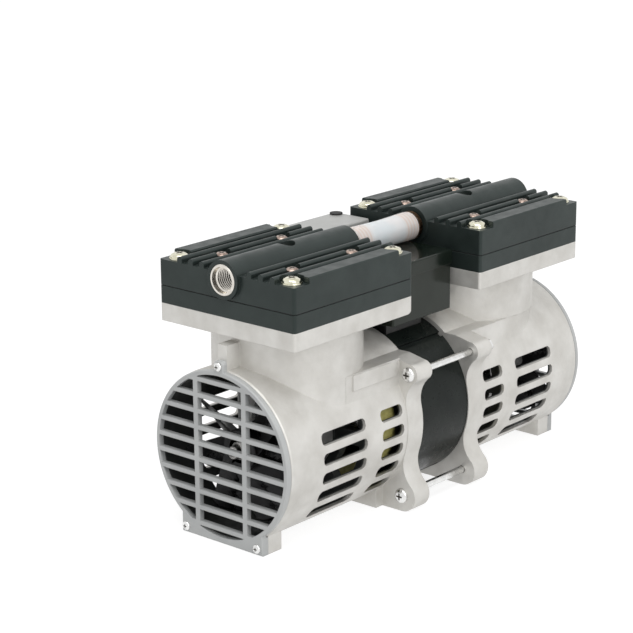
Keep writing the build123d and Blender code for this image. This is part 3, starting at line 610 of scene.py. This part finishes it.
for end in ("front", "rear"):
    bm = bmesh.new()
    washer = [(CAPTIVE_HOLE, 0), (CAPTIVE_R, 0), (CAPTIVE_R, CAPTIVE_T - 0.0002),
              (CAPTIVE_R - 0.0001, CAPTIVE_T), (CAPTIVE_HOLE, CAPTIVE_T)]
    for x, y in four(*CORNER_SCREW):
        skin_rings(bm, washer, at_end(end, stand_at(x, y, COVER_TOP)), 40, closed=True)
        seat = at_end(end, stand_at(x, y, COVER_TOP + CAPTIVE_T))
        screw(bm, seat, shank=0.0025, tip=-0.032, radius=0.0047, height=0.0023)
    piece(f"{end}_head_bolts", bm, [yellow_zinc, recess_dark], "pump", "yellow_zinc_steel",
          f"{end}_corner_screws")
    bm = bmesh.new()
    for x, y in four(*INNER_SCREW):
        seat = at_end(end, stand_at(x, y, COVER_TOP))
        screw(bm, seat, shank=0.002, tip=-0.0215, radius=0.0037, height=0.0022)
    seat = at_end(end, stand_at(UNIT_X, 0, BOSS_FLAT))
    screw(bm, seat, shank=0.002, tip=-0.0172, radius=0.0034, height=0.002)
    piece(f"{end}_cover_screws", bm, [copper_tint, recess_dark], "pump", "copper_tint_steel",
          f"{end}_inner_screws")

# ---- port inserts -------------------------------------------------------------------------------
# A nickel-plated brass sleeve is moulded into the outer end of each cover's boss. Its G1/4 thread
# takes the user's fitting.
BOSS_Z = 0.1385
INSERT_FROM, INSERT_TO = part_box("rear_port_insert")[0].x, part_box("rear_port_insert")[1].x
INSERT_R = 0.0082
CREST_R, ROOT_R, PORT_PITCH = 0.00575, 0.00655, 0.001337

nickel, tree, shader = finish("nickel_plated_brass", 0.24, metallic=1.0)
mottle(tree, shader, 0.003, (0.6, 0.57, 0.52), (0.78, 0.75, 0.69))
uneven_gloss(tree, shader, 0.0015, 0.18, 0.32)
relief(tree, shader, grain(tree, 0.0005, 2), 0.00002)
for end in ("front", "rear"):
    bm = bmesh.new()
    depth = INSERT_TO - INSERT_FROM
    inside = thread(CREST_R, ROOT_R, 0.001, depth - 0.001, PORT_PITCH)
    lip = [(ROOT_R + 0.0002, depth), (INSERT_R - 0.0004, depth), (INSERT_R, depth - 0.0004), (INSERT_R, 0)]
    rings = [(CREST_R, 0)] + inside + lip
    skin_rings(bm, rings, at_end(end, along_shaft(INSERT_FROM, 0, BOSS_Z)), 56, closed=True)
    piece(f"{end}_threaded_insert", bm, [nickel], "pump", "nickel_brass", f"{end}_port_insert")

# ---- link hose and nipples ----------------------------------------------------------------------
# A short milky silicone hose joins the two heads. It is pushed over a ridged brass nipple at each end,
# which shows through it. The nipple's dark thread shows too before it enters the cover.
HOSE_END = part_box("link_hose")[1].x
HOSE_R, HOSE_WAIST, HOSE_BORE = 0.0079, 0.0075, 0.00545
HOSE_LIP = 0.0007
WAIST_FROM = 0.019        # the hose is full round from here to its end
NIPPLE_FROM, NIPPLE_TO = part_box("rear_hose_nipple")[0].x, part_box("rear_hose_nipple")[1].x
NIPPLE_BORE, THREAD_R = 0.0032, 0.0066
SHOWN_R, SHOWN_TO = 0.0078, 0.0042    # the thread that shows between hose and cover
RIDGE_R, GROOVE_R, RIDGE_PITCH = 0.0053, 0.0047, 0.0025
BRASS_THROUGH_HOSE = (0.86, 0.66, 0.55, 1)

milky, tree, shader = finish("milky_silicone", 0.14, Transmission_Weight=0.45, IOR=1.41)
outward = from_middle(tree)
wave = calc(tree, "SINE", calc(tree, "MULTIPLY", outward, math.tau / RIDGE_PITCH))
ridge = put(tree, "MapRange", {"Value": wave, "From Min": -1.0, "To Min": 0.35}).outputs[0]
over_nipple = put(tree, "MapRange", {"Value": outward, "From Min": NIPPLE_FROM - 0.001,
                                     "From Max": NIPPLE_FROM + 0.0015, "To Max": 0.75}).outputs[0]
clear = between(tree, grain(tree, 0.016, 2), (0.8, 0.88, 0.92), (0.97, 0.95, 0.94))
shows = calc(tree, "MULTIPLY", over_nipple, ridge)
tree.links.new(blend(tree, shows, clear, BRASS_THROUGH_HOSE), shader.inputs["Base Color"])
uneven_gloss(tree, shader, 0.008, 0.1, 0.18, detail=2)
relief(tree, shader, grain(tree, 0.006, 1), 0.00002)

bm = bmesh.new()
outside = [(HOSE_R - HOSE_LIP, -HOSE_END), (HOSE_R, -HOSE_END + HOSE_LIP), (HOSE_R, -WAIST_FROM)]
outside += [(HOSE_WAIST + 0.0002 * abs(step) / 4, step * 0.003) for step in range(-4, 5)]
outside += [(HOSE_R, WAIST_FROM), (HOSE_R, HOSE_END - HOSE_LIP), (HOSE_R - HOSE_LIP, HOSE_END)]
rings = outside + [(HOSE_BORE, HOSE_END), (HOSE_BORE, -HOSE_END)]
skin_rings(bm, rings, along_shaft(0, 0, BOSS_Z), 64, closed=True)
piece("milky_link_hose", bm, [milky], "pump", "clear_silicone", "link_hose")

brass, tree, shader = finish("darkened_brass", 0.3, metallic=1.0)
mottle(tree, shader, 0.002, (0.05, 0.033, 0.022), (0.26, 0.17, 0.11))
relief(tree, shader, grain(tree, 0.0005, 2), 0.00003)
for end in ("front", "rear"):
    bm = bmesh.new()
    rings = [(NIPPLE_BORE, NIPPLE_FROM), (RIDGE_R - 0.0009, NIPPLE_FROM)]
    for step in range(4):
        start = NIPPLE_FROM + 0.0006 + step * RIDGE_PITCH
        rings += [(GROOVE_R, start), (RIDGE_R, start + 0.0019), (RIDGE_R + 0.00005, start + 0.0022),
                  (GROOVE_R, start + 0.0023)]
    rings += [(GROOVE_R + 0.0001, HOSE_END + 0.0001), (THREAD_R - 0.0008, HOSE_END + 0.0002)]
    rings += thread(SHOWN_R, SHOWN_R - 0.0008, HOSE_END + 0.0003, HOSE_END + SHOWN_TO, 0.001)
    rings += thread(THREAD_R, THREAD_R - 0.0007, HOSE_END + 0.0044, NIPPLE_TO - 0.0005, 0.001)
    rings += [(THREAD_R - 0.0008, NIPPLE_TO), (NIPPLE_BORE, NIPPLE_TO)]
    skin_rings(bm, rings, at_end(end, along_shaft(0, 0, BOSS_Z)), 48, closed=True)
    piece(f"{end}_ridged_nipple", bm, [brass], "pump", "copper_brass", f"{end}_hose_nipple")

# ---- electrical box -----------------------------------------------------------------------------
# A gloss black box stands on a saddle over the stator, with a lid held by two small screws. Behind it
# is the motor capacitor in a light grey case with a rubber plug. Inside is a white terminal block.
LID_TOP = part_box("junction_lid")[1].z
LID_SCREW_X, LID_SCREW_Y = 0.0205, 0.022

gloss_black, tree, shader = finish("gloss_black_moulding", 0.16, Specular_IOR_Level=0.3,
                                   Specular_Tint=(0.96, 1, 0.9, 1))
mottle(tree, shader, 0.02, (0.004, 0.007, 0.005), (0.009, 0.013, 0.01))
uneven_gloss(tree, shader, 0.009, 0.12, 0.22)
relief(tree, shader, grain(tree, 0.006, 2), 0.00006, under=soft_edge(tree, 0.0005))
wear(gloss_black, "junction_box", "junction_lid")

bracket_black, tree, shader = finish("bracket_paint", 0.4)
mottle(tree, shader, 0.01, (0.008, 0.008, 0.008), (0.018, 0.018, 0.018))
relief(tree, shader, grain(tree, 0.001, 2), 0.00003, under=soft_edge(tree, 0.0004))
wear(bracket_black, "junction_bracket")

case_grey, tree, shader = finish("light_grey_case", 0.38)
mottle(tree, shader, 0.016, (0.33, 0.332, 0.322), (0.39, 0.392, 0.38))
relief(tree, shader, grain(tree, 0.0007, 2), 0.00003, under=soft_edge(tree, 0.0006))
wear(case_grey, "capacitor")
wear(black_rubber, "capacitor_plug")

white_nylon, tree, shader = finish("white_terminal_nylon", 0.35)
mottle(tree, shader, 0.005, (0.6, 0.6, 0.56), (0.72, 0.72, 0.68), detail=2)
relief(tree, shader, grain(tree, 0.0006, 2), 0.00003, under=soft_edge(tree, 0.0004))
wear(white_nylon, "terminal_block")

bm = bmesh.new()
for x in (-LID_SCREW_X, LID_SCREW_X):
    screw(bm, stand_at(x, LID_SCREW_Y, LID_TOP), shank=0.0015, tip=-0.018, radius=0.0026, height=0.0015)
piece("lid_pan_heads", bm, [zinc, recess_dark], "pump", "zinc_steel", "lid_screws")
